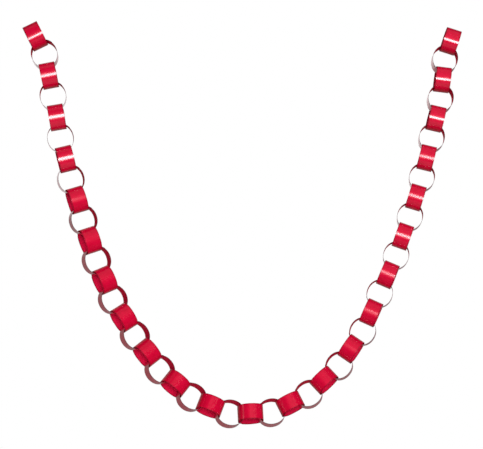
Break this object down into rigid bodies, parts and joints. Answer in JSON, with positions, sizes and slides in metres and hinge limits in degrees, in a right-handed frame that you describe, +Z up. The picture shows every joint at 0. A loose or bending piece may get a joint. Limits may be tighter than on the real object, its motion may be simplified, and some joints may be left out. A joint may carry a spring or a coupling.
{
  "type": "paper chain garland",
  "caption": "Garland of glossy red card strips, each glued into a loop through the last, hung in a U by the loops at its two ends.",
  "frame": {"origin": "inside the top of the loop at the left end, where it bears on the pin, hook or tape that holds it", "axes": "+X towards the other end of the garland, +Y away from the side that the picture shows, +Z up"},
  "size_m": [0.7236, 0.1066, 0.6577],
  "materials": {
    "red_card": "glossy coated card, crimson on both sides and matt on the inner one, with a pale core at the cut edges"
  },
  "bodies": {
    "root": {"link_01": "red_card", "link_02": "red_card", "link_03": "red_card", "link_04": "red_card", "link_05": "red_card", "link_06": "red_card", "link_07": "red_card", "link_08": "red_card", "link_09": "red_card", "link_10": "red_card", "link_11": "red_card", "link_12": "red_card", "link_13": "red_card", "link_14": "red_card", "link_15": "red_card", "link_16": "red_card", "link_17": "red_card", "link_18": "red_card", "link_19": "red_card", "link_20": "red_card", "link_21": "red_card", "link_22": "red_card", "link_23": "red_card", "link_24": "red_card", "link_25": "red_card", "link_26": "red_card", "link_27": "red_card", "link_28": "red_card", "link_29": "red_card", "link_30": "red_card", "link_31": "red_card", "link_32": "red_card", "link_33": "red_card", "link_34": "red_card", "link_35": "red_card", "link_36": "red_card", "link_37": "red_card", "link_38": "red_card", "link_39": "red_card", "link_40": "red_card", "link_41": "red_card", "link_42": "red_card", "link_43": "red_card", "link_44": "red_card", "link_45": "red_card"}
  },
  "joints": []
}
